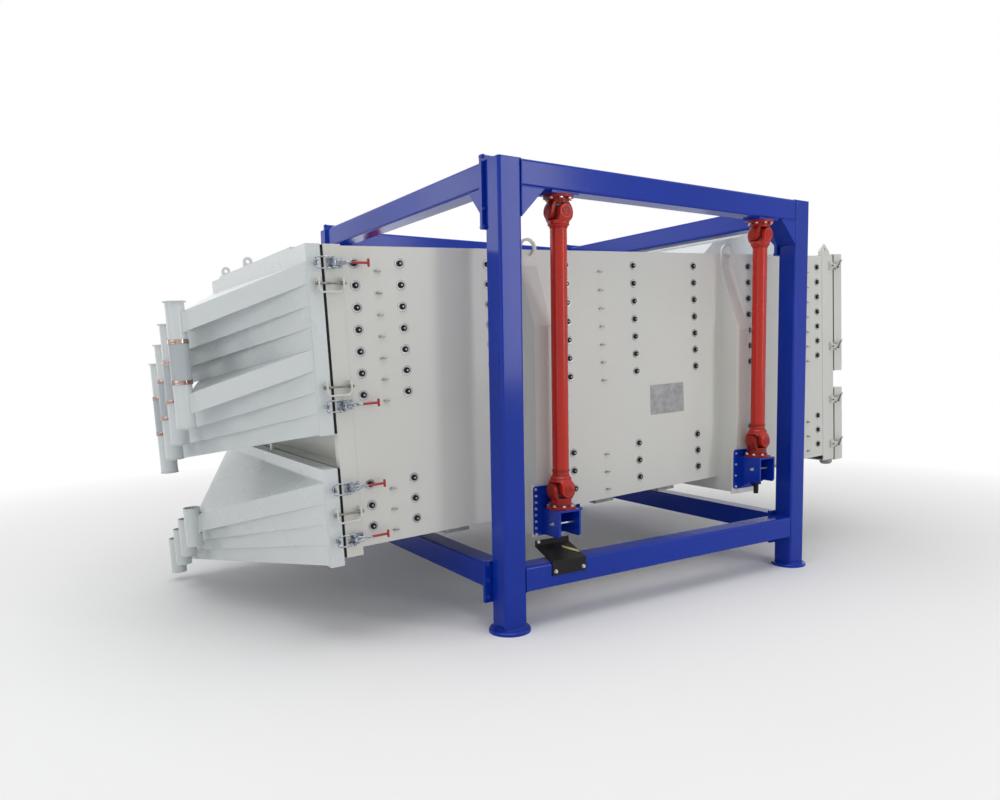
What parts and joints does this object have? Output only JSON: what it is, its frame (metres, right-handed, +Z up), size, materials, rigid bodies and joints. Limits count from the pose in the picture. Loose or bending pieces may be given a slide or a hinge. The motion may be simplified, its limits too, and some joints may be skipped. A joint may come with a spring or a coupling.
{
  "type": "swing screen",
  "caption": "Square gyratory sifter: a tilted box of sieve decks hung on cardan rods in a steel frame, with fan ducts to outlet pipes and toggle-latched doors.",
  "frame": {"origin": "on the floor, in the middle of the machine's overall length and width", "axes": "+X from the discharge end to the feed end, -Y is the front, +Z up"},
  "size_m": [5.2073, 3.0096, 2.73],
  "materials": {
    "blue_paint": "gloss",
    "red_paint": "gloss",
    "white_paint": "gloss",
    "rubber": "matt",
    "zinc": "satin",
    "black_paint": "satin",
    "clear_sleeve": "satin",
    "steel": "satin",
    "deck_wood": "matt",
    "grey_rubber": "matt"
  },
  "bodies": {
    "steel_frame": {"legs": "blue_paint", "foot_discs": "blue_paint", "long_top_beams": "blue_paint", "cross_top_beams": "blue_paint", "long_bottom_beams": "blue_paint", "cross_bottom_beams": "blue_paint", "haunch_gussets": "blue_paint", "end_flange_plates": "blue_paint", "hanger_pads": "blue_paint", "top_flange_yokes": "red_paint", "transport_brackets": "black_paint"},
    "screen_body": {"bottom_flange_yokes": "red_paint", "side_walls": "white_paint", "roof_plate": "white_paint", "floor_plate": "white_paint", "end_frames": "white_paint", "partition_plates": "white_paint", "hanger_columns": "white_paint", "under_cross_members": "white_paint", "rod_brackets": "blue_paint", "rubber_stops": "rubber", "under_body_pads": "grey_rubber", "door_seals": "rubber", "upper_discharge_door": "white_paint", "lower_discharge_door": "white_paint", "upper_feed_door": "white_paint", "lower_feed_door": "white_paint", "high_fan_ducts": "white_paint", "middle_fan_ducts": "white_paint", "low_fan_ducts": "white_paint", "upper_outlet_pipes": "white_paint", "pipe_sleeves": "clear_sleeve", "lower_outlet_pipes": "white_paint", "feed_inlet_hood": "white_paint", "upper_sieve_decks": "deck_wood", "lower_sieve_decks": "deck_wood", "exciter_housing": "steel", "latch_bases": "zinc", "feed_clamps": "zinc"},
    "exciter_rotor": {"exciter_shaft": "steel", "eccentric_weights": "steel"},
    "front_discharge_rod": {"front_discharge_rod": "red_paint"},
    "front_discharge_top_cross": {"front_discharge_top_cross": "red_paint"},
    "front_discharge_bottom_cross": {"front_discharge_bottom_cross": "red_paint"},
    "rear_discharge_rod": {"rear_discharge_rod": "red_paint"},
    "rear_discharge_top_cross": {"rear_discharge_top_cross": "red_paint"},
    "rear_discharge_bottom_cross": {"rear_discharge_bottom_cross": "red_paint"},
    "front_feed_rod": {"front_feed_rod": "red_paint"},
    "front_feed_top_cross": {"front_feed_top_cross": "red_paint"},
    "front_feed_bottom_cross": {"front_feed_bottom_cross": "red_paint"},
    "rear_feed_rod": {"rear_feed_rod": "red_paint"},
    "rear_feed_top_cross": {"rear_feed_top_cross": "red_paint"},
    "rear_feed_bottom_cross": {"rear_feed_bottom_cross": "red_paint"},
    "front_latch_levers": {"front_latch_levers": "red_paint"},
    "front_latch_hooks": {"front_latch_hooks": "zinc"},
    "rear_latch_levers": {"rear_latch_levers": "red_paint"},
    "rear_latch_hooks": {"rear_latch_hooks": "zinc"}
  },
  "joints": [
    {"name": "front_discharge_cross_swing", "type": "hinge", "parent": "steel_frame", "child": "front_discharge_top_cross", "pos_m": [-0.57651, -1.38, 2.439], "axis": [1, 0, 0], "range_deg": [-0.88, 0.88]},
    {"name": "front_discharge_rod_swing", "type": "hinge", "parent": "front_discharge_top_cross", "child": "front_discharge_rod", "pos_m": [-0.57651, -1.38, 2.439], "axis": [0, 1, 0], "range_deg": [-0.88, 0.88]},
    {"name": "front_discharge_lower_swing", "type": "hinge", "parent": "front_discharge_rod", "child": "front_discharge_bottom_cross", "pos_m": [-0.57651, -1.38, 0.8], "axis": [0, 1, 0], "range_deg": [-0.88, 0.88]},
    {"name": "rear_discharge_cross_swing", "type": "hinge", "parent": "steel_frame", "child": "rear_discharge_top_cross", "pos_m": [-0.57651, 1.38, 2.439], "axis": [1, 0, 0], "range_deg": [-0.88, 0.88]},
    {"name": "rear_discharge_rod_swing", "type": "hinge", "parent": "rear_discharge_top_cross", "child": "rear_discharge_rod", "pos_m": [-0.57651, 1.38, 2.439], "axis": [0, 1, 0], "range_deg": [-0.88, 0.88]},
    {"name": "rear_discharge_lower_swing", "type": "hinge", "parent": "rear_discharge_rod", "child": "rear_discharge_bottom_cross", "pos_m": [-0.57651, 1.38, 0.8], "axis": [0, 1, 0], "range_deg": [-0.88, 0.88]},
    {"name": "front_feed_cross_swing", "type": "hinge", "parent": "steel_frame", "child": "front_feed_top_cross", "pos_m": [1.19349, -1.38, 2.439], "axis": [1, 0, 0], "range_deg": [-0.98, 0.98]},
    {"name": "front_feed_rod_swing", "type": "hinge", "parent": "front_feed_top_cross", "child": "front_feed_rod", "pos_m": [1.19349, -1.38, 2.439], "axis": [0, 1, 0], "range_deg": [-0.98, 0.98]},
    {"name": "front_feed_lower_swing", "type": "hinge", "parent": "front_feed_rod", "child": "front_feed_bottom_cross", "pos_m": [1.19349, -1.38, 0.972], "axis": [0, 1, 0], "range_deg": [-0.98, 0.98]},
    {"name": "rear_feed_cross_swing", "type": "hinge", "parent": "steel_frame", "child": "rear_feed_top_cross", "pos_m": [1.19349, 1.38, 2.439], "axis": [1, 0, 0], "range_deg": [-0.98, 0.98]},
    {"name": "rear_feed_rod_swing", "type": "hinge", "parent": "rear_feed_top_cross", "child": "rear_feed_rod", "pos_m": [1.19349, 1.38, 2.439], "axis": [0, 1, 0], "range_deg": [-0.98, 0.98]},
    {"name": "rear_feed_lower_swing", "type": "hinge", "parent": "rear_feed_rod", "child": "rear_feed_bottom_cross", "pos_m": [1.19349, 1.38, 0.972], "axis": [0, 1, 0], "range_deg": [-0.98, 0.98]},
    {"name": "body_level_swing", "type": "hinge", "parent": "front_discharge_bottom_cross", "child": "screen_body", "pos_m": [-0.57651, -1.38, 0.8], "axis": [1, 0, 0], "range_deg": [-0.88, 0.88]},
    {"name": "exciter_spin", "type": "hinge", "parent": "screen_body", "child": "exciter_rotor", "pos_m": [0.27778, 0, 1.22342], "axis": [-0.0451, 0, 0.999], "continuous": true},
    {"name": "front_latch_lever_turn", "type": "hinge", "parent": "screen_body", "child": "front_latch_levers", "pos_m": [-1.86235, -1.146, 2.10876], "axis": [0.0451, 0, -0.999], "range_deg": [0, 110]},
    {"name": "front_latch_hook_pull", "type": "slide", "parent": "screen_body", "child": "front_latch_hooks", "axis": [-0.999, 0, -0.0451], "range_m": [0, 0.025]},
    {"name": "rear_latch_lever_turn", "type": "hinge", "parent": "screen_body", "child": "rear_latch_levers", "pos_m": [-1.86235, 1.146, 2.10876], "axis": [-0.0451, 0, 0.999], "range_deg": [0, 110]},
    {"name": "rear_latch_hook_pull", "type": "slide", "parent": "screen_body", "child": "rear_latch_hooks", "axis": [-0.999, 0, -0.0451], "range_m": [0, 0.025]}
  ],
  "couplings": [
    {"joint": "front_discharge_lower_swing", "follows": "front_discharge_rod_swing", "ratio": -1},
    {"joint": "rear_discharge_cross_swing", "follows": "front_discharge_cross_swing", "ratio": 1},
    {"joint": "rear_discharge_rod_swing", "follows": "front_discharge_rod_swing", "ratio": 1},
    {"joint": "rear_discharge_lower_swing", "follows": "front_discharge_rod_swing", "ratio": -1},
    {"joint": "front_feed_cross_swing", "follows": "front_discharge_cross_swing", "ratio": 1.1172},
    {"joint": "front_feed_rod_swing", "follows": "front_discharge_rod_swing", "ratio": 1.1172},
    {"joint": "front_feed_lower_swing", "follows": "front_discharge_rod_swing", "ratio": -1.1172},
    {"joint": "rear_feed_cross_swing", "follows": "front_discharge_cross_swing", "ratio": 1.1172},
    {"joint": "rear_feed_rod_swing", "follows": "front_discharge_rod_swing", "ratio": 1.1172},
    {"joint": "rear_feed_lower_swing", "follows": "front_discharge_rod_swing", "ratio": -1.1172},
    {"joint": "body_level_swing", "follows": "front_discharge_cross_swing", "ratio": -1},
    {"joint": "front_latch_hook_pull", "follows": "front_latch_lever_turn", "m_per_rad": 0.013022},
    {"joint": "rear_latch_hook_pull", "follows": "rear_latch_lever_turn", "m_per_rad": 0.013022}
  ]
}
